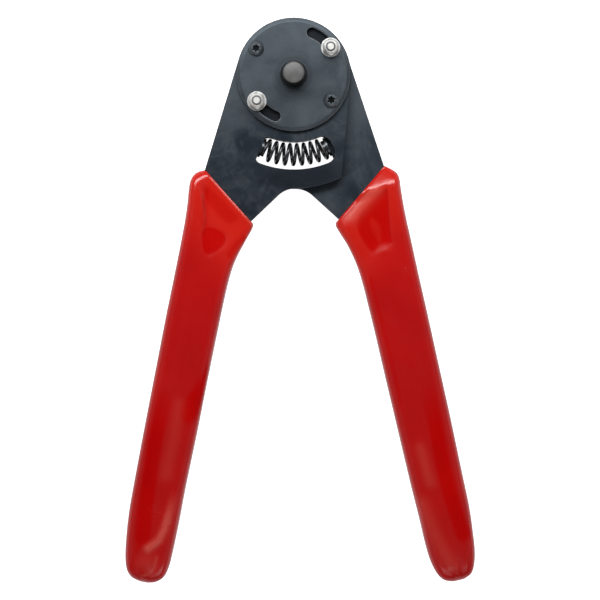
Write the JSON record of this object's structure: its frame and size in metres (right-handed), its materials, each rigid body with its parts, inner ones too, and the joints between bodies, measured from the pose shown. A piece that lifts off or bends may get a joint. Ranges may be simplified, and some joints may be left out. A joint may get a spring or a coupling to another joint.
{
  "type": "terminal crimping tool",
  "caption": "Hand crimping tool: two flat crossed levers with red sleeved grips, a round head with cam-driven indenters, arc slots, a locator collar and a curved return spring in a window",
  "frame": {"origin": "on the crimp axis, at the outer face of the back disc, where the entry bore begins", "axes": "+Y from the handles to the head along the tool's centre line, +Z from the entry side to the locator side along the crimp axis, +X to the right seen from the locator side"},
  "size_m": [0.1268, 0.2059, 0.0285],
  "materials": {
    "blackened_steel": "oiled black oxide",
    "disc_steel": "satin black oxide",
    "tool_steel": "ground",
    "spring_steel": "black drawn wire",
    "black_screws": "black oxide",
    "zinc_hardware": "bright zinc",
    "collar_steel": "turned, grey",
    "red_vinyl": "glossy dipped vinyl"
  },
  "bodies": {
    "right_half": {"right_lever": "blackened_steel", "right_grip": "red_vinyl", "front_disc": "disc_steel", "indenter_guide": "tool_steel", "guide_dowels": "tool_steel", "indenter_return_ring": "spring_steel", "return_spring": "spring_steel", "right_spring_seat": "blackened_steel", "right_lever_screws": "black_screws", "right_lever_washers": "zinc_hardware", "right_lever_nuts": "zinc_hardware", "locator_collar": "collar_steel", "locator_stop": "tool_steel"},
    "left_half": {"left_lever": "blackened_steel", "left_grip": "red_vinyl", "back_disc": "disc_steel", "cam_ring": "tool_steel", "cam_ring_dowels": "tool_steel", "left_spring_seat": "blackened_steel", "left_lever_screws": "black_screws", "left_lever_washers": "zinc_hardware", "left_lever_nuts": "zinc_hardware"},
    "indenter_1": {"indenter_1": "tool_steel"},
    "indenter_2": {"indenter_2": "tool_steel"},
    "indenter_3": {"indenter_3": "tool_steel"},
    "indenter_4": {"indenter_4": "tool_steel"}
  },
  "joints": [
    {"name": "handle_closing", "type": "hinge", "parent": "right_half", "child": "left_half", "pos_m": [0, 0, 0], "axis": [0, 0, 1], "range_deg": [0, 24], "stiffness_Nm_per_rad": 5.9, "springref_deg": -10.89, "deforming": ["return_spring", "indenter_return_ring"]},
    {"name": "indenter_1_slide", "type": "slide", "parent": "right_half", "child": "indenter_1", "axis": [1, 0, 0], "range_m": [-0.0014, 0]},
    {"name": "indenter_2_slide", "type": "slide", "parent": "right_half", "child": "indenter_2", "axis": [0, 1, 0], "range_m": [-0.0014, 0]},
    {"name": "indenter_3_slide", "type": "slide", "parent": "right_half", "child": "indenter_3", "axis": [-1, 0, 0], "range_m": [-0.0014, 0]},
    {"name": "indenter_4_slide", "type": "slide", "parent": "right_half", "child": "indenter_4", "axis": [0, -1, 0], "range_m": [-0.0014, 0]}
  ],
  "couplings": [
    {"joint": "indenter_1_slide", "follows": "handle_closing", "m_per_rad": -0.003342},
    {"joint": "indenter_2_slide", "follows": "handle_closing", "m_per_rad": -0.003342},
    {"joint": "indenter_3_slide", "follows": "handle_closing", "m_per_rad": -0.003342},
    {"joint": "indenter_4_slide", "follows": "handle_closing", "m_per_rad": -0.003342}
  ]
}
